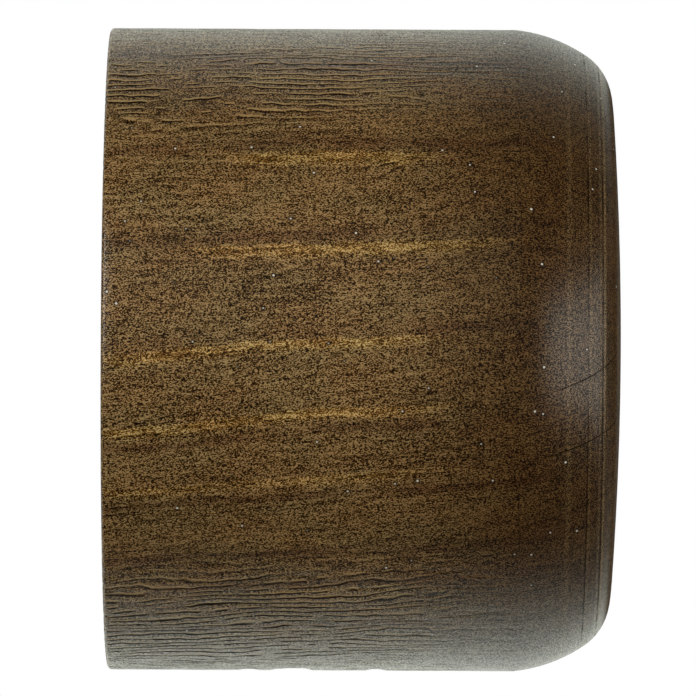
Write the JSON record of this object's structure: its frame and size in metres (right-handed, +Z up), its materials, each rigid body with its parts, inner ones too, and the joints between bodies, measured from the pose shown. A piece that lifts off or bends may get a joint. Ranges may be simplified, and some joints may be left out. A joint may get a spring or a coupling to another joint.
{
  "type": "curtain pole end cap finial",
  "caption": "Turned wooden end cap finial with a straight barrel, rounded shoulder and shallow domed end, slipped over the end of a round curtain pole by its blind socket.",
  "frame": {"origin": "centre of the socket's flat floor, where the end of the curtain pole butts", "axes": "+X along the pole's axis, out of the pole's end towards the domed face; +Z up; the socket's mouth faces -X"},
  "size_m": [0.0358, 0.045, 0.045],
  "materials": {
    "stained_wood": "satin"
  },
  "bodies": {
    "root": {"end_cap": "stained_wood"}
  },
  "joints": []
}
